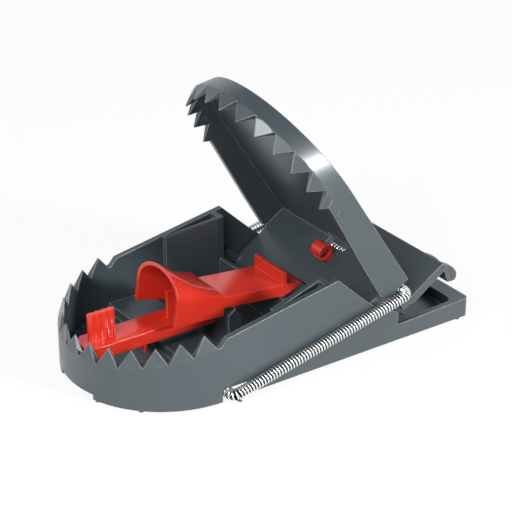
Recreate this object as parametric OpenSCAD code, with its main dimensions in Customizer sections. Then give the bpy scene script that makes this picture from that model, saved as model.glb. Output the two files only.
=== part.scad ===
// Mouse trap: toothed base and jaw, see-saw pedal and one long tension spring.
// Millimetres. The nose points to -Y, up is +Z, and the origin is under the middle of the base.
// The pieces stand as they do when the trap is set, with the jaw open.

/* [Base] */
// Length of the base from nose to tray
base_l = 100; // [96:0.5:108]
// Width over the two side walls
base_w = 51.3; // [49:0.1:54]
// Thickness of the side and nose walls
wall_t = 1.5; // [1.2:0.1:1.8]
// Thickness of the floor
floor_t = 1.2; // [0.9:0.1:1.4]
// Height of the floor's underside
floor_z = 1.2; // [1:0.1:1.4]
// Height of the foot pips
foot_h = 0.4; // [0.2:0.1:0.6]
// Height of the side walls at their peak
peak_z = 22.4; // [21.8:0.1:22.5]
// Height of the tray rim where it meets the side walls
tray_z = 4.7; // [4.2:0.1:5.2]
// Length of the rear tray
tray_l = 23; // [21:0.5:24]
// Width of the flat rim behind the tray
rear_rim = 4.1; // [3.5:0.1:5]

/* [Teeth] */
// Teeth round the nose of the base
base_teeth = 13; // [11:2:15]
// Height of a base tooth above its valleys
tooth_h = 4.25; // [3.6:0.05:4.4]
// Height of a jaw tooth
jaw_tooth_h = 4; // [3.6:0.05:4.3]
// Distance that a tooth's tip leans inwards
tooth_rake = 1.1; // [0.6:0.1:1.2]
// Height of the lowest valley, at the nose
nose_valley_z = 10; // [9.4:0.1:10.2]
// Rise of the valleys for each millimetre towards the rear
valley_rise = 0.2; // [0.18:0.005:0.21]
// Clearance between a tooth and the valley it closes into
tooth_gap = 0.8; // [0.7:0.05:1.2]

/* [Jaw] */
// Angle of the jaw's tooth plane above level when the trap is set
set_angle = 57; // [54:0.5:60]
// Distance of the jaw's hinge behind the middle of the base
hinge_y = 8.6; // [8.3:0.1:9]
// Height of the jaw's hinge
hinge_z = 8.9; // [8.8:0.1:9.2]
// Radius of the hinge stubs
stub_r = 1.2; // [0.9:0.1:1.4]
// Running clearance round a stub
stub_gap = 0.05; // [0.02:0.01:0.1]
// Height of the jaw's wall above its valleys
jaw_band = 4.5; // [4:0.1:5.5]
// Distance that the jaw's nose leans back at its cover
nose_lean = 2; // [0:0.1:2.4]
// Thickness of the jaw's cover
cover_t = 1.3; // [1:0.1:1.5]
// Thickness of the plate at the back of the jaw
plate_t = 1.6; // [1.2:0.1:1.8]
// Width of the window in the plate
window_w = 7.4; // [6:0.2:12]
// Thickness of the lever plate
lever_t = 1.3; // [1:0.1:1.6]
// Length of the lever plate behind the trough
lever_l = 12.4; // [11:0.2:13]

/* [Pedal] */
// Width of the bar behind the cowl
rear_bar_w = 12.6; // [11:0.2:14]
// Wall thickness of the pedal
pedal_t = 0.95; // [0.8:0.05:1.1]
// Width of the cowl at its mouth
cowl_w = 18.4; // [16.5:0.1:19.5]
// Height of the cowl's arch
cowl_h = 12.5; // [11.5:0.1:13]
// Width of the bait bar
bait_w = 7.7; // [6:0.1:8.4]
// Height of the fin above the bait bar
fin_h = 7.2; // [5:0.1:8]
// Length of the fin
fin_l = 6.9; // [5:0.1:8]
// Ribs down each face of the fin
fin_ribs = 4; // [2:1:5]

/* [Spring] */
// Outer diameter of the spring
spring_d = 3; // [2.6:0.05:3.1]
// Diameter of its wire
wire_d = 0.6; // [0.5:0.02:0.64]
// Curls in each side run
side_curls = 34; // [28:1:34]
// Curls across the jaw's trough
bridge_curls = 24; // [20:1:24]

/* [Hidden] */
$fn = 96;

half_w = base_w / 2;
nose_y = -base_l / 2;
nose_c = nose_y + half_w;
rear_y = base_l / 2;
rear_r = 1.3;
cut = 1;

// Side walls: their top edge from the last tooth to the tray
pitch = 180 / (base_teeth + 0.5);
shoulder_y = nose_c + 1.1;
shoulder_z = 16.85;
peak_y = hinge_y - 0.24;
slope_y = peak_y + 9;
slope_z = peak_z - 8.5;
knee_y = slope_y + 3.4;
knee_z = slope_z - 2.8;
drop_y = rear_y - tray_l;
drop_z = knee_z - 2.8;
rear_z = tray_z + 0.8;
wall_rise = (peak_z - shoulder_z) / (peak_y - shoulder_y);
function valley(y) = nose_valley_z + valley_rise * (y - nose_y);
function wall_top(y) = shoulder_z + wall_rise * (y - shoulder_y);

// Wedge pockets beside the jaw's plate, and the bulkhead between them
wedge_y = -9.5;
web_y = hinge_y - 3.4;
web_t = 1.2;
wedge_x = half_w - 5.1;
bulkhead_z = 10.2;

// Spring: the side runs lie outside the walls, and cross under the base and behind the plate
spring_r = spring_d / 2;
side_x = half_w + 0.15 + spring_r;
bend_r = side_x - half_w + 0.05;
front_y = -22.9;
front_z = spring_r + 0.6;
run_y0 = front_y + bend_r;
notch_y = front_y - 1.8;
notch_l = 8.7;
notch_z = front_z + spring_r + 0.1;

// Jaw, in its own frame: the hinge is at the origin, the nose points to -Y and the teeth point down.
// Its tooth plane would lie over the base's valleys if nothing stood between the jaws.
closed = atan(valley_rise);
jaw_pitch = 180 / base_teeth;
jaw_tip = (valley(hinge_y) - hinge_z) * cos(closed) + tooth_gap;
jaw_c = 0.25 - (hinge_y - nose_c - sin(closed) * jaw_tip) / cos(closed);
jaw_valley = jaw_tip + jaw_tooth_h;
jaw_top = jaw_valley + jaw_band;
jaw_end = 5.9;
plate_y = 3.4;
plate_back = plate_y + plate_t;
ear_t = 1.4;
ear_x = half_w - wall_t - 0.45;
boss_r = 2;
trough_z = 17.5;
trough_t = 1;
trough_w = spring_d + 2.1;
lever_y = plate_back + trough_w;
lever_z = trough_z + lever_l + 1.5;
bridge_y = plate_back + 0.3 + spring_r;
bridge_z = trough_z + 0.2 + spring_r;
catch_x = 0.6;
catch_w = 3.8;
catch_r = 2.2;
catch_z = trough_z - trough_t - 1.1;
window_z = trough_z + 1.1;
window_y = plate_y - 1.9;
pass_w = 16.4;
pass_z = 6.45;

// The bridge's place in the set trap
bridge_at = [hinge_y + bridge_y * cos(set_angle) + bridge_z * sin(set_angle),
    hinge_z - bridge_y * sin(set_angle) + bridge_z * cos(set_angle)];

// Pedal
pedal_y = -8.2;
pedal_z = 12.1;
rib_r = 0.6;
post_gap = 0.3;
bar_y0 = -11.5;
bar_z0 = 15.5;
bar_y1 = 6.4;
bar_z1 = 13.6;
tail_y = 11.6;
tail_z = 12.9;
flange_h = 3;
fence_h = 3.2;
cowl_y = -27.2;
cowl_z = 13.2;
cowl_leg = 6.2;
cowl_lean = 8.8;
cowl_rear_z = 10.4;
crest = 1.8;
bait_y = nose_y + wall_t + 1;
bait_z = 11.1;
bait_h = 3.2;
bait_end = bar_y0 - pedal_t;

// A prism across the whole width w, with its outline given as [y, z]
module across(w, points) {
    translate([-w / 2, 0, 0])
        rotate([90, 0, 90])
            linear_extrude(w) polygon(points);
}

// Plan of a nose and its straight sides: radius r about [0, c], closed at y = y_end
module plan(r, c, y_end) {
    translate([0, c]) circle(r);
    translate([-r, c]) square([2 * r, y_end - c]);
}

// Plan of the base, with its two rear corners rounded
module base_plan() {
    plan(half_w, nose_c, rear_y - rear_r);
    translate([rear_r - half_w, nose_c]) square([base_w - 2 * rear_r, rear_y - nose_c]);
    for (s = [-1, 1]) translate([s * (half_w - rear_r), rear_y - rear_r]) circle(rear_r);
}

// One tooth through a wall at angle a round the nose, from its valleys z0 and z1 to its tip.
// Its outer face leans inwards by tooth_rake, and step is the angle between teeth.
module tooth(r, c, a, step, z0, z1, tip) {
    half = r * tan(step / 2);
    root = sign(tip - z0);
    low = (z0 + z1) / 2;
    in_y = cut + wall_t - r;
    translate([0, c, 0]) rotate([0, 0, a]) intersection() {
        translate([0, in_y, 0]) rotate([90, 0, 0]) linear_extrude(wall_t + 2 * cut)
            polygon([[-half, z0 - root], [half, z1 - root], [half, z1], [0, tip], [-half, z0]]);
        across(2 * half + cut, [[in_y + cut, low - 2 * root], [-r - 2 * cut, low - 2 * root],
            [-r - 2 * cut, low], [-r, low], [tooth_rake - r, tip], [tooth_rake - r, tip + root],
            [in_y + cut, tip + root]]);
    }
}

module base_tooth_row() {
    for (k = [-(base_teeth - 1) / 2 : (base_teeth - 1) / 2]) {
        a = k * pitch;
        z0 = valley(nose_c - half_w * cos(a - pitch / 2));
        z1 = valley(nose_c - half_w * cos(a + pitch / 2));
        tooth(half_w, nose_c, a, pitch, z0, z1, valley(nose_c - half_w * cos(a)) + tooth_h);
    }
}

// Outline of the base seen from the side, without its teeth
module base_profile() {
    last = valley(nose_c - cut / 2);
    across(base_w + 2 * cut, [
        [nose_y - cut, foot_h], [rear_y + cut, foot_h],
        [rear_y + cut, rear_z], [drop_y, tray_z], [drop_y, drop_z],
        [knee_y, knee_z], [slope_y, slope_z], [peak_y, peak_z],
        [shoulder_y, shoulder_z], [nose_c - cut / 2, last], [nose_y - cut, valley(nose_y - cut)]]);
}

// Slanted inner wall of one wedge pocket and the web that joins it to the side wall
module wedge() {
    top = [[wedge_y - 2, floor_z], [web_y + web_t, floor_z],
        [web_y + web_t, wall_top(web_y + web_t) - 0.2], [wedge_y - 2, wall_top(wedge_y - 2) - 0.2]];
    in_x = half_w - wall_t;
    intersection() {
        across(base_w, top);
        linear_extrude(peak_z + cut) union() {
            polygon([[in_x + 0.2, wedge_y], [wedge_x + web_t, web_y], [wedge_x + web_t, web_y + web_t],
                [wedge_x, web_y + web_t], [wedge_x, web_y - 0.4], [in_x - web_t, wedge_y]]);
            translate([wedge_x, web_y]) square([in_x - wedge_x + 0.2, web_t]);
        }
    }
}

// Pointed post that carries the pedal
module fulcrum() {
    tip = pedal_z - rib_r - post_gap;
    translate([rear_bar_w / 2 - 0.6, 0, 0])
        across(1.2, [[pedal_y - 1.9, floor_z], [pedal_y + 1.9, floor_z],
            [pedal_y + 1.9, tip - 2.4], [pedal_y, tip], [pedal_y - 1.9, tip - 1.4]]);
}

// Rim round the tray, with rounded inner corners
module tray_rim() {
    in_x = half_w - wall_t;
    r = 2.2;
    end = rear_y - rear_rim;
    intersection() {
        base_profile();
        linear_extrude(rear_z + cut) base_plan();
        difference() {
            translate([0, 0, foot_h]) linear_extrude(rear_z) difference() {
                translate([-in_x - 0.2, end - r]) square([2 * in_x + 0.4, rear_rim + r]);
                translate([-in_x, end - 2 * r]) square([2 * in_x, r]);
                translate([-in_x + r, end - 2 * r]) square([2 * (in_x - r), 2 * r]);
                for (x = [-in_x + r, in_x - r]) translate([x, end - r]) circle(r);
            }
            translate([-in_x + 3, end + wall_t, -cut])
                cube([2 * in_x - 6, rear_rim - 2 * wall_t, cut + tray_z - floor_t]);
        }
    }
}

module feet() {
    r = half_w - wall_t / 2;
    for (s = [-1, 1]) {
        for (a = [19, 45])
            translate([s * r * sin(a), nose_c - r * cos(a), 0]) cylinder(r = 0.7, h = 2);
        translate([s * r, rear_y - 3, 0]) cylinder(r = 0.7, h = 2);
    }
}

module base() {
    in_x = half_w - wall_t;
    color([0.38, 0.4, 0.42]) difference() {
        union() {
            intersection() {
                linear_extrude(peak_z + cut) difference() {
                    base_plan();
                    plan(in_x, nose_c, rear_y + cut);
                }
                union() {
                    base_profile();
                    base_tooth_row();
                }
            }
            translate([0, 0, floor_z]) linear_extrude(floor_t) plan(in_x + 0.2, nose_c, rear_y - rear_r);
            // Saddle over the spring that crosses under the floor
            across(2 * in_x + 0.4, [[notch_y - floor_t, floor_z], [notch_y + notch_l + floor_t, floor_z],
                [notch_y + notch_l + floor_t, notch_z + floor_t], [notch_y - floor_t, notch_z + floor_t]]);
            for (s = [0, 1]) mirror([s, 0, 0]) {
                wedge();
                fulcrum();
            }
            // Bulkhead between the wedges
            translate([-wedge_x - 0.2, web_y, floor_z]) cube([2 * wedge_x + 0.4, web_t, bulkhead_z - floor_z]);
            tray_rim();
            feet();
        }
        // Holes for the jaw's hinge stubs
        translate([-half_w - cut, hinge_y, hinge_z]) rotate([0, 90, 0])
            cylinder(r = stub_r + stub_gap, h = base_w + 2 * cut);
        // Channel and side notches for the spring
        translate([-half_w - cut, notch_y, -cut]) cube([base_w + 2 * cut, notch_l, notch_z + cut]);
        // Raised edge under the middle of the nose
        translate([-7.4, nose_y - cut, -cut]) cube([14.8, wall_t + 2.4 + cut, cut + 1.7]);
    }
}

// Outline of the jaw's wall seen from the side, without its teeth
module jaw_profile() {
    across(base_w + 2 * cut, [
        [jaw_c - half_w - cut, jaw_valley], [jaw_c - 0.4, jaw_valley], [jaw_c + 0.6, jaw_tip + 1.8],
        [-8, jaw_tip + 0.5], [2.5, jaw_tip + 0.1], [jaw_end, trough_z - 0.1], [plate_back, trough_z + 1],
        [plate_back, jaw_top + cut], [jaw_c - half_w - cut, jaw_top + cut]]);
}

module jaw_tooth_row() {
    for (k = [-base_teeth / 2 : base_teeth / 2])
        tooth(half_w, jaw_c, k * jaw_pitch, jaw_pitch, jaw_valley, jaw_valley, jaw_tip);
}

// Solid body of the jaw, d inside its outer face: upright to the valleys, then leaning back at the nose
module jaw_body(d, y_end) {
    linear_extrude(jaw_valley + 0.02) plan(half_w - d, jaw_c, y_end);
    hull() {
        translate([0, 0, jaw_valley]) linear_extrude(0.02) plan(half_w - d, jaw_c, y_end);
        translate([0, 0, jaw_top - 0.02]) linear_extrude(0.02) plan(half_w - d, jaw_c + nose_lean, y_end);
    }
}

// Ear that carries the hinge stub on one side
module ear() {
    translate([ear_x - ear_t / 2, 0, 0])
        across(ear_t, [[plate_y, trough_z - 1], [plate_y, 3.2], [-0.6, 1.9], [0, 0], [2, -0.2],
            [3.8, 2], [6.2, 12], [lever_y, trough_z - 1]]);
    translate([ear_x - ear_t, 0, 0]) rotate([0, 90, 0]) cylinder(r = boss_r, h = ear_t);
    translate([ear_x - ear_t, 0, 0]) rotate([0, 90, 0]) cylinder(r = stub_r, h = half_w - 0.1 - ear_x + ear_t);
}

// Plate at the back of the jaw, with the pass for the pedal's tail and the slot for the catch
module jaw_plate() {
    in_x = half_w - wall_t + 0.2;
    translate([0, plate_back, 0]) rotate([90, 0, 0]) linear_extrude(plate_t) difference() {
        union() {
            translate([-ear_x, -cut]) square([2 * ear_x, trough_z]);
            translate([-in_x, jaw_tip + 0.4]) square([2 * in_x, jaw_top - jaw_tip - 1]);
        }
        translate([-pass_w / 2, -2 * cut]) square([pass_w, pass_z + 2 * cut]);
        translate([catch_x - 0.9, catch_z - 0.8]) square([1.8, 1.6]);
    }
}

// Window in the corner between the plate and the cover, through which the spring shows
module window() {
    w = window_w / 2;
    translate([catch_x, 0, window_z]) linear_extrude(jaw_top + cut - window_z)
        polygon([[-w, plate_back + cut], [-w, window_y], [w - 1, window_y], [w, window_y + 1.2], [w, plate_back + cut]]);
}

// Lever plate with its side flanges, turned-down lip and the rounded ribs behind the lip
module lever() {
    z0 = trough_z - trough_t;
    z1 = lever_z;
    y = lever_y;
    across(base_w, [[y, z0], [y, z1], [y + lever_t, z1], [y + lever_t, z0]]);
    for (s = [-1, 1]) translate([s * (half_w - 0.6), 0, 0])
        across(1.2, [[y, z0], [y, z1], [y + 2.2, z1 - 0.6], [y + 2.2, trough_z + 2.4]]);
    across(base_w, [[y, z1 - 1.2], [y, z1], [y + 0.5, z1 + 0.6], [y + 1.3, z1 + 0.8], [y + 6.1, z1 - 0.4],
        [y + 6.2, z1 - 0.8], [y + 5.9, z1 - 1.2], [y + 1.8, z1 - 0.3], [y + lever_t, z1 - 1.2]]);
    for (x = [half_w - 2.2, half_w - 8.4]) for (s = [-1, 1]) translate([s * x, 0, 0])
        across(1.1, [[y + 1.3, z1 + 0.3], [y + 2.2, z1 + 1.3], [y + 3.8, z1 + 2.2], [y + 5.4, z1 + 2.7],
            [y + 7.3, z1 + 2.8], [y + 8.4, z1 + 2.2], [y + 8.8, z1 + 1.3], [y + 8.4, z1 + 0.4],
            [y + 7.6, z1 - 0.4], [y + 6, z1 - 0.9]]);
}

module upper_jaw_shape() {
    difference() {
        union() {
            intersection() {
                difference() {
                    jaw_body(0, jaw_end + 0.1);
                    translate([0, 0, -cut]) linear_extrude(2 * cut) plan(half_w - wall_t, jaw_c, jaw_end + cut);
                    jaw_body(wall_t, jaw_end + cut);
                    translate([0, 0, jaw_top - 0.05]) linear_extrude(cut)
                        plan(half_w - wall_t, jaw_c + nose_lean, jaw_end + cut);
                }
                union() {
                    jaw_profile();
                    jaw_tooth_row();
                }
            }
            intersection() {
                jaw_body(wall_t - 0.2, plate_back);
                translate([-half_w, -base_l, jaw_top - cover_t]) cube([base_w, base_l + plate_back, cover_t]);
            }
            jaw_plate();
            for (s = [0, 1]) mirror([s, 0, 0]) ear();
            // Floor of the spring's trough
            translate([-half_w, plate_y + 0.2, trough_z - trough_t]) cube([base_w, lever_y - plate_y, trough_t]);
            lever();
        }
        window();
    }
}

// Puts what is drawn in the jaw's own frame at its place in the set trap
module on_jaw() {
    translate([0, hinge_y, hinge_z]) rotate([-set_angle, 0, 0]) children();
}

module upper_jaw() {
    color([0.42, 0.43, 0.45]) on_jaw() upper_jaw_shape();
}

// Red catch: a split ring before the plate, with a stem through the plate and a head behind it
module catch_clip() {
    y = plate_y - catch_r;
    color([0.85, 0.12, 0.08]) on_jaw() translate([catch_x, 0, catch_z]) {
        translate([-catch_w / 2, y, 0]) rotate([0, 90, 0]) difference() {
            cylinder(r = catch_r, h = catch_w);
            translate([0, 0, -cut]) cylinder(r = catch_r - 1.1, h = catch_w + 2 * cut);
            translate([0, -0.6, -cut]) cube([catch_r + cut, 1.2, catch_w + 2 * cut]);
        }
        translate([-catch_w / 2, plate_y - 1, -1.1]) cube([catch_w, 1, 2.2]);
        translate([-0.9, plate_y - 0.9, -0.8]) cube([1.8, plate_t + 1.5, 1.6]);
        translate([-1.5, plate_back, -1.1]) cube([3, 0.8, 2]);
    }
}

// Outline of an arch in x and z: w wide, h high above z, upright up to leg, and flatter on top for a small e
function arch(w, h, z, drop, leg, e) = concat(
    [for (i = [0 : 24]) let (a = i * 7.5)
        [w / 2 * sign(cos(a)) * pow(abs(cos(a)), e), z + leg + (h - leg) * pow(sin(a), e)]],
    [[-w / 2, z - drop], [w / 2, z - drop]]);

// Mouth of the cowl as a thin slab that leans back, d inside its outline
module cowl_mouth(d, y) {
    translate([0, y, cowl_z]) rotate([-cowl_lean, 0, 0]) translate([0, 0, -cowl_z]) rotate([90, 0, 0])
        linear_extrude(0.02) polygon(arch(cowl_w - 2 * d, cowl_h - d, cowl_z, d * 3, cowl_leg, 1));
}

// Waist of the cowl, half way to the bar and d inside its outline
module cowl_waist(d) {
    z = (cowl_z + cowl_rear_z) / 2;
    h = (cowl_z + cowl_h + bar_z0 + crest) / 2 - 0.9 - z;
    translate([0, (cowl_y + bar_y0) / 2, 0]) rotate([90, 0, 0]) linear_extrude(0.02)
        polygon(arch((cowl_w + rear_bar_w) / 2 - 0.5 - 2 * d, h - d, z, d * 3, 0.5 * h, 0.63));
}

module cowl() {
    in_w = rear_bar_w - 2 * pedal_t;
    low = cowl_rear_z;
    difference() {
        union() {
            hull() {
                cowl_mouth(0, cowl_y);
                cowl_waist(0);
            }
            hull() {
                cowl_waist(0);
                across(rear_bar_w, [[bar_y0 - 1.2, low], [bar_y0, low], [bar_y0, bar_z0], [bar_y0 - 1.2, bar_z0 + crest]]);
            }
        }
        hull() {
            cowl_mouth(pedal_t, cowl_y - 0.05);
            cowl_waist(pedal_t);
        }
        hull() {
            cowl_waist(pedal_t);
            translate([-in_w / 2, bait_end - 0.02, low - 3]) cube([in_w, 0.02, bar_z0 + 3 - low]);
        }
    }
}

module trigger_pedal() {
    in_w = rear_bar_w - 2 * pedal_t;
    low0 = bar_z0 - flange_h;
    low1 = bar_z1 - flange_h - 0.1;
    color([0.88, 0.16, 0.1]) {
        cowl();
        // Rear bar: a channel open underneath that narrows to its tail
        difference() {
            across(rear_bar_w, [[bar_y0 - 0.2, bar_z0], [bar_y1, bar_z1], [tail_y, tail_z], [tail_y, tail_z - 0.6],
                [bar_y1, low1], [bar_y0 - 0.2, low0]]);
            across(in_w, [[bar_y0 + 0.02, bar_z0 - pedal_t], [bar_y1, bar_z1 - pedal_t],
                [tail_y - pedal_t, tail_z - pedal_t], [tail_y - pedal_t, low1 - 2], [bar_y0 + 0.02, low0 - 2]]);
        }
        // Fence across the bar
        translate([-rear_bar_w / 2, bar_y1 - 0.2, bar_z1 - 0.4]) cube([rear_bar_w, pedal_t, fence_h + 0.4]);
        // Rib that rocks on the fulcrum posts
        translate([-rear_bar_w / 2, pedal_y, pedal_z]) rotate([0, 90, 0]) cylinder(r = rib_r, h = rear_bar_w);
    }
}

// Plan of the bait bar, pulled in by d on every side
module bait_plan(d) {
    w = bait_w / 2 - d;
    polygon([[-w, bait_end + (d > 0 ? cut : 0)], [-w, bait_y + 2], [-w * 0.55, bait_y + d],
        [w * 0.55, bait_y + d], [w, bait_y + 2], [w, bait_end + (d > 0 ? cut : 0)]]);
}

module bait_bar() {
    fin_y = bait_y + 2.2;
    low = bait_z - bait_h;
    color([0.86, 0.15, 0.09]) {
        difference() {
            translate([0, 0, low]) linear_extrude(bait_h) bait_plan(0);
            translate([0, 0, low - cut]) linear_extrude(bait_h + cut - pedal_t) bait_plan(pedal_t);
        }
        // Fluted fin that holds the bait
        translate([-0.5, fin_y, bait_z - 0.2]) cube([1, fin_l, fin_h + 0.2]);
        for (i = [0 : fin_ribs - 1])
            translate([0, fin_y + fin_l * (i + 0.5) / fin_ribs, bait_z - 0.2]) cylinder(r = 0.75, h = fin_h + 0.2);
        // Upright plate under the cowl
        across(1, [[cowl_y + 3.4, bait_z - 0.2], [cowl_y + 3.4, bait_z + 7], [cowl_y + 9.9, bait_z + 7],
            [bait_end, bait_z + 3.1], [bait_end, bait_z - 0.2]]);
        // Stop leg under each side of the bar
        for (s = [-1, 1]) translate([s * (bait_w / 2 - 0.5), cowl_y - 5, low - 2.2]) cylinder(r = 0.45, h = 3);
    }
}

// Centre line of a coil of n curls along +Z over length l, with a short straight end at both ends
function coil_path(n, l, r) = let (end = wire_d, rise = l - 2 * end, m = n * 8) concat(
    [[r, 0, 0]],
    [for (i = [0 : m]) let (a = i * 45) [r * cos(a), r * sin(a), end + rise * i / m]],
    [[r, 0, l]]);

// Angle of each centre point about the coil's axis
function coil_turn(n, i) = i <= 1 ? 0 : i >= n * 8 + 1 ? 0 : (i - 1) * 45;

function unit(v) = v / norm(v);

// Rings of six points round each centre point
function coil_points(n, l, r) = let (p = coil_path(n, l, r), last = len(p) - 1)
    [for (i = [0 : last]) let (
        t = unit(p[min(i + 1, last)] - p[max(i - 1, 0)]),
        e1 = [cos(coil_turn(n, i)), sin(coil_turn(n, i)), 0],
        e2 = unit(cross(t, e1)),
        e3 = cross(e2, t))
        for (j = [0 : 5]) p[i] + wire_d / 2 * (cos(j * 60) * e3 + sin(j * 60) * e2)];

function coil_faces(rings) = concat(
    [[0, 1, 2], [0, 2, 3], [0, 3, 4], [0, 4, 5]],
    [for (i = [0 : rings - 2]) for (j = [0 : 5]) let (k = (j + 1) % 6, a = 6 * i)
        each [[a + j, a + 6 + j, a + k], [a + k, a + 6 + j, a + 6 + k]]],
    [let (b = 6 * (rings - 1)) each [[b, b + 2, b + 1], [b, b + 3, b + 2], [b, b + 4, b + 3], [b, b + 5, b + 4]]]);

module coil(curls, l) {
    n = round(curls);
    r = spring_r - wire_d / 2;
    polyhedron(coil_points(n, l, r), coil_faces(n * 8 + 3), convexity = 10);
}

// Least gap between a coil's wire and itself, measured on its centre points
function least_gap(n, l) = let (p = coil_path(n, l, spring_r - wire_d / 2), last = len(p) - 1)
    min([for (i = [0 : last]) for (j = [i + 4 : min(i + 12, last)]) norm(p[i] - p[j])]) - wire_d;

run_dy = bridge_at[0] - bend_r - run_y0;
run_dz = bridge_at[1] - 0.6 - front_z;
run_l = norm([run_dy, run_dz]);
run_tilt = atan2(run_dz, run_dy);
bridge_l = 2 * half_w;
echo(str("least gap in a side run, mm: ", least_gap(side_curls, run_l)));
echo(str("least gap in the bridge, mm: ", least_gap(bridge_curls, bridge_l)));

module side_run() {
    translate([side_x, run_y0, front_z]) rotate([run_tilt - 90, 0, 0]) coil(side_curls, run_l);
}

module spring_right() {
    color([0.8, 0.81, 0.82]) side_run();
}

module spring_left() {
    color([0.8, 0.81, 0.82]) mirror([1, 0, 0]) side_run();
}

module spring_bridge() {
    color([0.8, 0.81, 0.82]) on_jaw()
        translate([-half_w, bridge_y, bridge_z]) rotate([0, 90, 0]) coil(bridge_curls, bridge_l);
}

// Stretch of the spring that lies hidden under the base, with its bend at each side notch
module spring_front() {
    color([0.7, 0.71, 0.72]) {
        translate([-half_w, front_y, front_z]) rotate([0, 90, 0]) cylinder(r = spring_r, h = base_w);
        for (s = [0, 1]) mirror([s, 0, 0]) translate([half_w, front_y + bend_r, front_z]) rotate([0, 0, -90])
            rotate_extrude(angle = 90) translate([bend_r, 0]) circle(spring_r);
    }
}

base();
upper_jaw();
trigger_pedal();
bait_bar();
catch_clip();
spring_left();
spring_right();
spring_bridge();
spring_front();
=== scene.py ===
# %% [markdown]
# # A moulded jaw trap for mice, dressed in Blender
# The trap has five mouldings and one long steel spring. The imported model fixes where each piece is,
# how big it is and what it moves with. This script gives every piece its finished surface: clean
# faces and softened mould edges on the plastic, a real helix for the spring, and materials made
# from formulas. The model could be dressed by painting pictures on it, but a formula has no size at
# which it turns blurred, and every number in it can be changed.

import math

import bmesh
import bpy
import numpy as np
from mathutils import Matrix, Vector


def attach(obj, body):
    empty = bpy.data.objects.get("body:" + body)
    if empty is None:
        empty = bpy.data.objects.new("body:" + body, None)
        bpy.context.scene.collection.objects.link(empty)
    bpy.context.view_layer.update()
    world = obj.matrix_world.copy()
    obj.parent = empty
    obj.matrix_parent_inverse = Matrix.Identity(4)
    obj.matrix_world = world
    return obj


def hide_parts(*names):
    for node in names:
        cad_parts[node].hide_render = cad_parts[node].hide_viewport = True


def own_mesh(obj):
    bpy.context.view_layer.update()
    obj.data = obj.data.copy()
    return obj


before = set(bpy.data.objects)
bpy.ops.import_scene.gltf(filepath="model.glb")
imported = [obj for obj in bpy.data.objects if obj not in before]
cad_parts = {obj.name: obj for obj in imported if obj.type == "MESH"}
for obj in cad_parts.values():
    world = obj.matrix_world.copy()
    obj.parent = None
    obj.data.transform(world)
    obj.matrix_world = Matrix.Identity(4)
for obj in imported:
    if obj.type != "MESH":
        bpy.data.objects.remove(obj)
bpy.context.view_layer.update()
MM = 0.001
print("nodes in the frame:", ", ".join(sorted(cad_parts)))

# %% [markdown]
# ## The camera
# The photograph looks down on the trap from its right front. The view was solved from the outline of
# the base, so the camera stands where the photographer's did: 0.4 m away, with a longish lens. A
# camera needs only a place, a target and a lens; a Track To constraint would do the same, but a plain
# rotation leaves nothing live in the scene.

# %% Camera at the photograph's angle
CAMERA_AT = Vector((308.82, -211.51, 207.92)) * MM
CAMERA_TARGET = Vector((13.08, -6.74, 28.06)) * MM
FOCAL_PX = 1707.7
IMAGE_PX = 512
SENSOR_MM = 36.0

camera_data = bpy.data.cameras.new("camera")
camera_data.sensor_width = SENSOR_MM
camera_data.lens = FOCAL_PX / IMAGE_PX * SENSOR_MM
camera_data.clip_start = 0.01
camera = bpy.data.objects.new("camera", camera_data)
camera.location = CAMERA_AT
camera.rotation_euler = (CAMERA_TARGET - CAMERA_AT).to_track_quat("-Z", "Y").to_euler()
bpy.context.scene.collection.objects.link(camera)
bpy.context.scene.camera = camera
print("lens, mm:", round(camera_data.lens, 1))

# %% [markdown]
# ## Helpers for materials
# Every finish here is a Principled shader whose colour and bump come from noise on Object
# coordinates. Object coordinates are real metres on the piece, so a pattern keeps its true scale and
# stays put when the piece moves. Generated coordinates would stretch it to each piece's box. Each
# helper adds one step, so a finish reads as a short list.


# %% Material helpers
def new_material(name):
    """An empty node material with its shader, tree and coordinate node."""
    material = bpy.data.materials.new(name)
    material.use_nodes = True
    tree = material.node_tree
    tree.nodes.clear()
    shader = tree.nodes.new("ShaderNodeBsdfPrincipled")
    output = tree.nodes.new("ShaderNodeOutputMaterial")
    tree.links.new(shader.outputs["BSDF"], output.inputs["Surface"])
    place = tree.nodes.new("ShaderNodeTexCoord")
    return material, tree, shader, place


def noise(tree, place, cells_per_metre, detail=2.0):
    """A noise factor from 0 to 1 with that many cells in a metre."""
    node = tree.nodes.new("ShaderNodeTexNoise")
    node.inputs["Scale"].default_value = cells_per_metre
    node.inputs["Detail"].default_value = detail
    tree.links.new(place.outputs["Object"], node.inputs["Vector"])
    return node.outputs["Fac"]


def spread(tree, source, low, high, start=0.3, end=0.7):
    """Maps a factor between start and end to a number between low and high."""
    node = tree.nodes.new("ShaderNodeMapRange")
    node.inputs["From Min"].default_value = start
    node.inputs["From Max"].default_value = end
    node.inputs["To Min"].default_value = low
    node.inputs["To Max"].default_value = high
    tree.links.new(source, node.inputs["Value"])
    return node.outputs["Result"]


def blend_colours(tree, factor, first, second):
    """A colour between two, by a factor; either may be a link or a plain colour."""
    node = tree.nodes.new("ShaderNodeMix")
    node.data_type = "RGBA"
    tree.links.new(factor, node.inputs["Factor"])
    for socket, colour in ((node.inputs[6], first), (node.inputs[7], second)):
        if isinstance(colour, tuple):
            socket.default_value = (*colour, 1.0)
        else:
            tree.links.new(colour, socket)
    return node.outputs[2]


def add_bump(tree, shader, height, distance, strength, normal):
    """A fine bump of that depth in metres, from a height between 0 and 1, over a softened normal."""
    node = tree.nodes.new("ShaderNodeBump")
    node.inputs["Distance"].default_value = distance
    node.inputs["Strength"].default_value = strength
    tree.links.new(height, node.inputs["Height"])
    tree.links.new(normal, node.inputs["Normal"])
    tree.links.new(node.outputs["Normal"], shader.inputs["Normal"])


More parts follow.
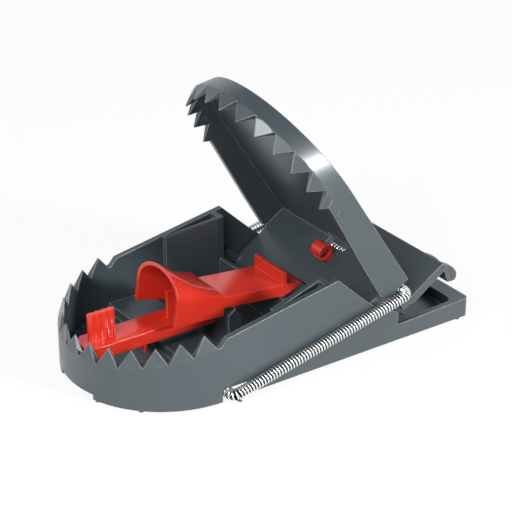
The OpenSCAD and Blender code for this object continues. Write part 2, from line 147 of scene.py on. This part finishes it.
def soft_edges(tree, radius_mm):
    """The normal with every corner rounded to that radius, and a factor that is 1 at a corner."""
    rounded = tree.nodes.new("ShaderNodeBevel")
    rounded.samples = 6
    rounded.inputs["Radius"].default_value = radius_mm * MM
    surface = tree.nodes.new("ShaderNodeNewGeometry")
    match = tree.nodes.new("ShaderNodeVectorMath")
    match.operation = "DOT_PRODUCT"
    tree.links.new(rounded.outputs["Normal"], match.inputs[0])
    tree.links.new(surface.outputs["Normal"], match.inputs[1])
    corner = spread(tree, match.outputs["Value"], 1.0, 0.0, 0.80, 0.995)
    return rounded.outputs["Normal"], corner


# %% [markdown]
# ## Moulded plastic
# The base and the jaw are dark blue-grey plastic from a polished mould. Seen square on it is nearly
# black; its paler look outside is the studio's white, mirrored in a smooth skin. So the colour
# itself is dark and the shader's specular level is high, which a paler matt colour could not copy:
# the hollows would turn pale too. Real mouldings also drift a little in tone over a few centimetres
# and have a fine orange peel. Their rounded rims mirror a thin bright line, so the corners are also
# painted paler in patches, a painted highlight. A coat layer could give the shine, but there is no
# lacquer on the real thing, and the base layer alone does it. The roughness of the grey stays above
# 0.28, because the noise filter treats smoother skins as mirrors and would draw the border between
# the two. The red pieces are the same plastic, in another colour and more polished.


# %% Plastic
def plastic(name, dark, light, rim_highlight, roughness, specular, edge_mm):
    """Moulded plastic: drifting colour and gloss, a painted highlight on the corners, fine orange peel.
    """
    material, tree, shader, place = new_material(name)
    normal, corner = soft_edges(tree, edge_mm)
    drift = spread(tree, noise(tree, place, 55.0, 3.0), 0.0, 1.0)
    colour = blend_colours(tree, drift, dark, light)
    # Painted highlight: the corners are painted paler in broken patches, for the bright line that each
    # rounded rim reflects.
    rim_highlight_breakup = spread(tree, noise(tree, place, 420.0, 5.0), 0.25, 1.0)
    rim_highlight_mask = tree.nodes.new("ShaderNodeMath")
    rim_highlight_mask.operation = "MULTIPLY"
    tree.links.new(corner, rim_highlight_mask.inputs[0])
    tree.links.new(rim_highlight_breakup, rim_highlight_mask.inputs[1])
    colour_with_rim_highlight = blend_colours(tree, rim_highlight_mask.outputs["Value"], colour, rim_highlight)
    tree.links.new(colour_with_rim_highlight, shader.inputs["Base Color"])
    low, high = roughness
    gloss = spread(tree, noise(tree, place, 150.0, 4.0), low, high)
    tree.links.new(gloss, shader.inputs["Roughness"])
    peel = noise(tree, place, 2400.0, 2.0)
    add_bump(tree, shader, peel, 0.02 * MM, 0.2, normal)
    shader.inputs["Specular IOR Level"].default_value = specular
    shader.inputs["IOR"].default_value = 1.5
    return material


GREY_DARK = (0.042, 0.058, 0.067)
GREY_LIGHT = (0.050, 0.067, 0.077)
# The third grey, and the third red below, is a painted highlight colour for the bright rims.
GREY_RIM_HIGHLIGHT = (0.48, 0.50, 0.52)
GREY_SPECULAR = 0.8
GREY_EDGE_MM = 0.3
GREYS = (GREY_DARK, GREY_LIGHT, GREY_RIM_HIGHLIGHT)
base_plastic = plastic("base_plastic", *GREYS, (0.29, 0.39), GREY_SPECULAR, GREY_EDGE_MM)
jaw_plastic = plastic("jaw_plastic", *GREYS, (0.29, 0.33), GREY_SPECULAR, GREY_EDGE_MM)
RED_DEEP = (0.57, 0.025, 0.015)
RED_BRIGHT = (0.67, 0.037, 0.020)
RED_RIM_HIGHLIGHT = (0.92, 0.16, 0.10)
RED_SPECULAR = 0.6
RED_EDGE_MM = 0.22
REDS = (RED_DEEP, RED_BRIGHT, RED_RIM_HIGHLIGHT)
red_plastic = plastic("red_plastic", *REDS, (0.13, 0.20), RED_SPECULAR, RED_EDGE_MM)
print("plastics ready:", base_plastic.name, jaw_plastic.name, red_plastic.name)

# %% [markdown]
# ## Bright spring wire
# Zinc-plated spring wire is a mirror that drawing has scratched along its length. An anisotropic
# shader could show the scratches, but they are far finer than a pixel. A metallic shader with a low
# roughness and a little noise in it is enough, because the coil's own shape breaks the reflections
# into bright and dark bands. The shadow inside a coil is painted onto the wire as a near-black colour,
# a painted shade, so each wire carries an attribute that says how far a point faces outwards.


# %% Spring wire
PLATING_DULL = (0.80, 0.81, 0.80)
PLATING_BRIGHT = (0.94, 0.95, 0.95)
# The near-black colour below is painted shade for the inside of the coil.
PAINTED_COIL_SHADE = (0.02, 0.022, 0.022)


def spring_wire(name):
    """Bright plated wire with a slightly uneven polish and painted shade where it faces into the coil.
    """
    material, tree, shader, place = new_material(name)
    polish = noise(tree, place, 900.0, 3.0)
    plated = blend_colours(tree, polish, PLATING_DULL, PLATING_BRIGHT)
    side = tree.nodes.new("ShaderNodeAttribute")
    side.attribute_name = "outwards"
    # Painted shade: the side of each wire that faces into the coil is painted near black.
    outside = spread(tree, side.outputs["Fac"], 0.0, 1.0, -0.15, 0.35)
    tree.links.new(blend_colours(tree, outside, PAINTED_COIL_SHADE, plated), shader.inputs["Base Color"])
    tree.links.new(spread(tree, polish, 0.14, 0.28), shader.inputs["Roughness"])
    shader.inputs["Metallic"].default_value = 1.0
    return material


spring_steel = spring_wire("spring_steel")
print("wire ready:", spring_steel.name)

# %% [markdown]
# ## The mouldings
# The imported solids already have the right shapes, but their meshes are loose triangles, which shade
# as facets. Each one is copied, its doubled corners are merged and its flat faces joined. Edges that
# turn less than a set angle are shaded smooth: 11 degrees in the jaws, whose round walls are fine
# facets, and 33 degrees in the pedal, whose cowl is coarser. Smooth shading alone would pull the
# light astray where a long face meets a sliver, so the normals are weighted by face area. A Bevel
# modifier would round the mould edges, but the finest edges of the teeth are shorter than the
# rounding and it tears them. The shader's rounding has no such limit, and catches the light along
# every rim as the real corners do.


# %% Copy a node with clean faces
MERGE_MM = 0.002
FLAT_DEG = 0.4
AREA_WEIGHT = 70


def moulded(node, material, body, smooth_deg=24.0):
    """A copy of a node's mesh with merged faces, smooth where two faces turn less than smooth_deg."""
    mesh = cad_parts[node].data.copy()
    mesh.name = node + "_moulded"
    work = bmesh.new()
    work.from_mesh(mesh)
    bmesh.ops.remove_doubles(work, verts=work.verts, dist=MERGE_MM * MM)
    flat = math.radians(FLAT_DEG)
    bmesh.ops.dissolve_limit(work, angle_limit=flat, verts=work.verts, edges=work.edges)
    work.to_mesh(mesh)
    work.free()
    piece = bpy.data.objects.new(node + "_moulded", mesh)
    bpy.context.scene.collection.objects.link(piece)
    mesh.materials.clear()
    mesh.materials.append(material)
    mesh.polygons.foreach_set("use_smooth", np.ones(len(mesh.polygons), dtype=bool))
    mesh.set_sharp_from_angle(angle=math.radians(smooth_deg))
    normals = piece.modifiers.new("flat_faces_first", "WEIGHTED_NORMAL")
    normals.keep_sharp = True
    normals.weight = AREA_WEIGHT
    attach(piece, body)
    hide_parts(node)
    print(piece.name, "faces:", len(mesh.polygons))


moulded("base", base_plastic, "base_body", 11.0)
moulded("upper_jaw", jaw_plastic, "jaw", 11.0)
moulded("trigger_pedal", red_plastic, "pedal", 33.0)
moulded("bait_bar", red_plastic, "pedal")
moulded("catch_clip", red_plastic, "jaw")

# %% [markdown]
# ## The spring
# One closed spring runs under the base, along both sides and through the jaw's trough. Its wire is
# a helix, and a helix is a formula: a point goes round a circle while the circle's centre moves
# along a path. A Screw modifier could wind the straight runs, but not the bends, so every stretch
# here is worked out as whole arrays from one function of two numbers, the distance along the path
# and the angle round the wire.


# %% A helix of wire along a path
def unit(rows):
    """Each row of an array scaled to length one."""
    return rows / np.linalg.norm(rows, axis=1, keepdims=True)


def surface_mesh(name, grid, material):
    """A mesh from a grid of points: rows run along the tube, columns go round it and close."""
    rows, around = grid.shape[:2]
    index = np.arange(rows * around).reshape(rows, around)
    turned = np.roll(index, -1, axis=1)
    quads = np.stack([index[:-1], turned[:-1], turned[1:], index[1:]], axis=-1).reshape(-1, 4)
    corners = np.concatenate([quads.ravel(), index[0][::-1], index[-1]])
    starts = np.concatenate([np.arange(len(quads)) * 4, len(quads) * 4 + np.array([0, around])])
    mesh = bpy.data.meshes.new(name)
    mesh.vertices.add(rows * around)
    mesh.vertices.foreach_set("co", grid.reshape(-1).astype(np.float32))
    mesh.loops.add(len(corners))
    mesh.loops.foreach_set("vertex_index", corners.astype(np.int32))
    mesh.polygons.add(len(starts))
    mesh.polygons.foreach_set("loop_start", starts.astype(np.int32))
    mesh.update(calc_edges=True)
    mesh.validate()
    mesh.polygons.foreach_set("use_smooth", np.ones(len(mesh.polygons), dtype=bool))
    mesh.materials.append(material)
    piece = bpy.data.objects.new(name, mesh)
    bpy.context.scene.collection.objects.link(piece)
    return piece


def wire_grid(centre, side, radius, around=7):
    """A tube: centre + radius * (cos a * side + sin a * (tangent x side)), with side made square."""
    tangent = unit(np.gradient(centre, axis=0))
    side = unit(side - (side * tangent).sum(axis=1, keepdims=True) * tangent)
    other = np.cross(tangent, side)
    angle = np.linspace(0.0, 2.0 * np.pi, around, endpoint=False)[None, :, None]
    out = np.cos(angle) * side[:, None] + np.sin(angle) * other[:, None]
    return centre[:, None] + radius * out


def helix(path, across, turns, phase, coil_radius, wire_radius, steps=14):
    """A wire wound on a path over 0 to 1: path + R * (cos p * across + sin p * third)."""
    along = np.linspace(0.0, 1.0, int(abs(turns) * steps) + 1)
    middle = path(along)
    tangent = unit(np.gradient(middle, axis=0))
    first = unit(across(along) - (across(along) * tangent).sum(axis=1, keepdims=True) * tangent)
    third = np.cross(tangent, first)
    turn = (phase + 2.0 * np.pi * turns * along)[:, None]
    out = np.cos(turn) * first + np.sin(turn) * third
    return wire_grid(middle + coil_radius * out, out, wire_radius)


# %% Sizes of the spring, in mm
HALF_W = 25.65
COIL_RADIUS = 1.24
WIRE_RADIUS = 0.25
SIDE_X = 27.3
FRONT = np.array([SIDE_X, -21.2, 2.5])
REAR = np.array([SIDE_X, 26.71, 13.05])
TROUGH = np.array([HALF_W, 28.41, 13.65])
CROSS = np.array([HALF_W, -22.9, 2.1])
RUN_TURNS = 59
OTHER_SIDE = np.array([-1, 1, 1])
run_length = float(np.linalg.norm(REAR - FRONT))
print("side run, mm:", round(run_length, 1), "pitch, mm:", round(run_length / RUN_TURNS, 3))


def mirrored(grid, sign):
    """The grid on the other side of the trap when sign is -1, with its faces still outwards."""
    if sign > 0:
        return grid
    return np.roll((grid * OTHER_SIDE)[:, ::-1], 1, axis=1)


def spring_piece(name, grid, body, node=None, material=spring_steel):
    """A stretch of wire as a piece that rides on a body and may stand for a node."""
    piece = surface_mesh(name, grid * MM, material)
    rows, around = grid.shape[:2]
    outwards = np.tile(np.cos(np.arange(around) * 2.0 * np.pi / around), rows)
    field = piece.data.attributes.new("outwards", "FLOAT", "POINT")
    field.data.foreach_set("value", outwards.astype(np.float32))
    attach(piece, body)
    if node:
        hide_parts(node)
    return piece


# %% [markdown]
# ### Side runs
# Each side run is a straight stretch held at both ends, with its front end low beside the nose and
# its rear end at the lever. As the jaw shuts, the rear end swings up and comes nearer, and the real
# spring draws its turns together. The run rides on a body that swings about its front end, and
# squash shortens it along its own axis with the same joint, so its turns close up as real ones do.


# %% Side runs
def straight(start, end):
    """The path start + t * (end - start)."""
    return lambda t: start + t[:, None] * (end - start)


def steady(direction):
    """The same direction at every place on a path."""
    return lambda t: np.repeat(np.array([direction], dtype=float), len(t), axis=0)


SIDES = (("right", 1), ("left", -1))
run_axis = (REAR - FRONT) / run_length
run_path = straight(FRONT, REAR)
for side_name, sign in SIDES:
    wire = helix(run_path, steady((1, 0, 0)), RUN_TURNS, 0.0, COIL_RADIUS, WIRE_RADIUS)
    run = spring_piece("spring_run_" + side_name, mirrored(wire, sign), "springs", "spring_" + side_name)
    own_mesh(run)
    print(run.name, "faces:", len(run.data.polygons))

# %% [markdown]
# ### Bridge and elbows
# At the rear the spring turns in over the end of the jaw's trough and runs across behind the jaw's
# plate, where the window shows a few turns of it. The jaw carries these stretches. An elbow is the
# same helix on a curved path: a cubic curve that leaves the side run along its axis and enters the
# trough square to it. A circular arc would need both ends at equal distances from a corner, which
# they are not.


# %% Bridge and elbows
def cubic(start, start_pull, end, end_pull):
    """A cubic Hermite curve from start to end with those end slopes."""
    def path(t):
        t = t[:, None]
        return (
            (2 * t**3 - 3 * t**2 + 1) * start
            + (t**3 - 2 * t**2 + t) * start_pull
            + (3 * t**2 - 2 * t**3) * end
            + (t**3 - t**2) * end_pull
        )
    return path


BRIDGE_TURNS = 46
ELBOW_TURNS = 5
ABOVE_RUN = (0, -0.223, 0.975)
bridge_path = straight(TROUGH * OTHER_SIDE, TROUGH)
bridge_wire = helix(bridge_path, steady((0, 1, 0)), BRIDGE_TURNS, 0.0, COIL_RADIUS, WIRE_RADIUS)
spring_piece("spring_bridge_wire", bridge_wire, "jaw", "spring_bridge")
elbow_path = cubic(REAR, 3.2 * run_axis, TROUGH, np.array([-2.6, 0.0, 0.0]))
for side_name, sign in SIDES:
    wire = helix(elbow_path, steady(ABOVE_RUN), ELBOW_TURNS, np.pi / 2, COIL_RADIUS, WIRE_RADIUS)
    spring_piece("spring_elbow_" + side_name, mirrored(wire, sign), "jaw")
print("bridge turns:", BRIDGE_TURNS, "elbow turns:", ELBOW_TURNS)

# %% [markdown]
# ### Front crossing
# At the front the spring turns in through a notch at the foot of each wall and crosses under the
# floor. Under each turn a short dark arc of the base's plastic curves close below the coil and
# nearly touches the ground. The arc could be a bent box, but a tube on an arc has a round back.


# %% Front crossing
CROSS_TURNS = 60
FRONT_TURNS = 4
DARK_ARC_RADIUS = 1.78
DARK_ARC_THICKNESS = 0.29
cross_path = straight(CROSS * OTHER_SIDE, CROSS)
cross_wire = helix(
    cross_path, steady((0, 1, 0)), CROSS_TURNS, 0.0, COIL_RADIUS, WIRE_RADIUS, steps=10
)
spring_piece("spring_cross", cross_wire, "base_body", "spring_front")
front_path = cubic(CROSS, np.array([2.7, 0.0, 0.0]), FRONT, 2.7 * run_axis)
# A short dark arc of the base's plastic below each front turn, nearly touching the ground.
sweep = np.radians(np.linspace(-68.0, 46.0, 22))[:, None]
dark_arc_directions = np.sin(sweep) * np.array([1.0, 0, 0]) + np.cos(sweep) * np.array([0.0, 0.12, -0.993])
ring = FRONT + np.array([0.0, -0.6, 0.0]) + DARK_ARC_RADIUS * dark_arc_directions
dark_arc = wire_grid(ring, ring - FRONT, DARK_ARC_THICKNESS, around=10)
for side_name, sign in SIDES:
    wire = helix(front_path, steady(ABOVE_RUN), FRONT_TURNS, np.pi / 2, COIL_RADIUS, WIRE_RADIUS)
    spring_piece("spring_turn_" + side_name, mirrored(wire, sign), "base_body")
    dark_arc_name = "spring_dark_arc_" + side_name
    dark_arc_grid = mirrored(dark_arc, sign)
    spring_piece(dark_arc_name, dark_arc_grid, "base_body", None, base_plastic)
print("crossing turns:", CROSS_TURNS, "front turns:", FRONT_TURNS)

# %% [markdown]
# ## Small moulded marks
# A mould leaves its own small marks: a raised line where a sliding core met the jaw's wall, a pip
# where the plastic was let in, and round ejector marks. They are under a third of a millimetre
# proud, so a bump would do from afar, but a real bead of plastic catches the light at its edge. Each
# bead is a thin tube on a path over the wall, sunk to half its thickness, and each pip a low dome.


# %% Beads and pips
JAW_HINGE = np.array([0.0, 8.6, 8.9])
SET = math.radians(57.0)


def on_jaw(x, forward, out):
    """World mm: hinge + forward * (0, -cos, sin) + out * (0, sin, cos) of the set angle."""
    x, forward, out = np.broadcast_arrays(np.atleast_1d(x).astype(float), forward, out)
    y = JAW_HINGE[1] - math.cos(SET) * forward + math.sin(SET) * out
    z = JAW_HINGE[2] + math.sin(SET) * forward + math.cos(SET) * out
    return np.stack([x, y, z], axis=1)


def bead(name, path, radius, body, material):
    """A half-sunk tube of that radius along a path on the wall that faces +X."""
    grid = wire_grid(path, np.repeat([[1.0, 0.0, 0.0]], len(path), axis=0), radius, around=8)
    piece = surface_mesh(name, grid * MM, material)
    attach(piece, body)


def pip(name, centre, normal, radius, height, body, material):
    """A low dome: radius * sin(s) out from the centre and height * cos(s) along the normal."""
    normal = np.array(normal, dtype=float)
    first = np.cross(normal, [0.3, 0.9, 0.3])
    first = first / np.linalg.norm(first)
    second = np.cross(normal, first)
    turn = np.linspace(0.0, 2.0 * np.pi, 18, endpoint=False)[None, :, None]
    rise = np.linspace(0.08, 0.5 * np.pi, 6)[:, None, None]
    out = radius * np.sin(rise) * (np.cos(turn) * first + np.sin(turn) * second)
    grid = np.array(centre, dtype=float) + out + height * np.cos(rise) * normal
    piece = surface_mesh(name, grid[::-1] * MM, material)
    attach(piece, body)


# %% Marks on the jaw and in the tray
JAW_SIDE_X = 25.63
bend = np.linspace(0.0, 1.0, 24)
core_forward = 29.9 - 6.2 * bend + 2.7 * bend**2
core_out = 17.3 + 2.3 * bend - 4.2 * bend**2
core_line = on_jaw(JAW_SIDE_X, core_forward, core_out)
end_line = on_jaw(JAW_SIDE_X, -5.9, 11.0 + 6.0 * bend)
for side_name, sign in SIDES:
    flip = np.array([sign, 1, 1])
    bead("core_line_" + side_name, core_line * flip, 0.13, "jaw", jaw_plastic)
    bead("end_line_" + side_name, end_line * flip, 0.07, "jaw", jaw_plastic)
    gate = on_jaw(25.64 * sign, -1.1, 14.5)[0]
    pip("gate_pip_" + side_name, gate, (sign, 0, 0), 0.35, 0.22, "jaw", jaw_plastic)
tray_place = (18.6, 34.2, 2.4)
pip("tray_pip", tray_place, (0, 0, 1), 0.7, 0.2, "base_body", base_plastic)
print("core line, mm long:", round(float(np.linalg.norm(np.diff(core_line, axis=0), axis=1).sum()), 1))

# %% [markdown]
# ## Floor and light
# The photograph is a studio cut-out: a white ground, soft light from the front and almost no shadow.
# A large disc under a white world gives that. The walls mirror the white ground, while the top of
# the jaw mirrors a dark ceiling. So the world depends on the ray: white to the camera, white at the
# horizon and dark overhead to glossy surfaces, and an even third of white to all other light. A
# uniform world would be simpler, but it turns the jaw's curved band pale and flat. The hollows are
# nearly as light as the outside is without its shine, so most light comes from the camera's side,
# from a large lamp high in front. The bright patch on the jaw's wall gives away a small lamp low on
# the right, at the place that the wall mirrors there.


# %% Rays that should see white
def by_ray(tree, seen, mirrored_in, other):
    """A number that depends on the ray: seen by the camera, mirrored in a glossy skin, or any other."""
    path = tree.nodes.new("ShaderNodeLightPath")
    total = other
    choices = (("Is Glossy Ray", mirrored_in), ("Is Transmission Ray", seen), ("Is Camera Ray", seen))
    for kind, value in choices:
        pick = tree.nodes.new("ShaderNodeMix")
        tree.links.new(path.outputs[kind], pick.inputs["Factor"])
        for socket, source in ((pick.inputs[2], total), (pick.inputs[3], value)):
            if isinstance(source, float):
                socket.default_value = source
            else:
                tree.links.new(source, socket)
        total = pick.outputs[0]
    return total


# %% Floor
FLOOR_SEEN = 0.88
FLOOR_MIRRORED = 0.75


def pale_floor(radius):
    """A plain pale disc far larger than the view, most of its look plain white to the camera."""
    mesh = bpy.data.meshes.new("floor")
    turns = np.linspace(0.0, 2.0 * np.pi, 65)[:-1]
    rim = np.stack([radius * np.cos(turns), radius * np.sin(turns), np.zeros_like(turns)], axis=1)
    mesh.from_pydata(rim.tolist(), [], [list(range(len(turns)))])
    floor = bpy.data.objects.new("floor", mesh)
    bpy.context.scene.collection.objects.link(floor)
    material, tree, shader, place = new_material("floor_paper")
    tone = noise(tree, place, 6.0)
    paper = blend_colours(tree, tone, (0.88, 0.88, 0.88), (0.92, 0.92, 0.92))
    tree.links.new(paper, shader.inputs["Base Color"])
    shader.inputs["Roughness"].default_value = 0.9
    glow = tree.nodes.new("ShaderNodeEmission")
    glow.inputs["Color"].default_value = (1.0, 1.0, 1.0, 1.0)
    mixed = tree.nodes.new("ShaderNodeMixShader")
    tree.links.new(by_ray(tree, FLOOR_SEEN, FLOOR_MIRRORED, 0.0), mixed.inputs["Fac"])
    tree.links.new(shader.outputs["BSDF"], mixed.inputs[1])
    tree.links.new(glow.outputs["Emission"], mixed.inputs[2])
    tree.links.new(mixed.outputs["Shader"], tree.nodes["Material Output"].inputs["Surface"])
    mesh.materials.append(material)
    print("floor radius, m:", radius)


pale_floor(1.6)


# %% World and lamps
def soft_lamp(name, place, target, size, watts):
    """A square soft box that faces a target."""
    data = bpy.data.lights.new(name, "AREA")
    data.size = size
    data.energy = watts
    lamp = bpy.data.objects.new(name, data)
    lamp.location = place
    lamp.rotation_euler = (Vector(target) - Vector(place)).to_track_quat("-Z", "Y").to_euler()
    bpy.context.scene.collection.objects.link(lamp)
    print(name, "watts:", watts)


CEILING = 0.12
CEILING_FROM = 0.40
CEILING_FULL = 0.78
ROOM_LIGHT = 0.34
world = bpy.data.worlds.new("studio")
world.use_nodes = True
room = world.node_tree
background = room.nodes["Background"]
background.inputs["Color"].default_value = (1.0, 1.0, 1.0, 1.0)
around = room.nodes.new("ShaderNodeTexCoord")
heights = room.nodes.new("ShaderNodeSeparateXYZ")
room.links.new(around.outputs["Generated"], heights.inputs["Vector"])
mirrored_sky = spread(room, heights.outputs["Z"], 1.0, CEILING, CEILING_FROM, CEILING_FULL)
room.links.new(by_ray(room, 1.0, mirrored_sky, ROOM_LIGHT), background.inputs["Strength"])
bpy.context.scene.world = world
middle = (0.0, 0.0, 0.02)
soft_lamp("front_high", (0.3, -0.58, 0.52), middle, 0.4, 5.0)
soft_lamp("right_low", (0.77, 0.34, 0.38), (0.02, -0.01, 0.04), 0.12, 7.0)
bpy.context.scene.view_settings.view_transform = "Standard"
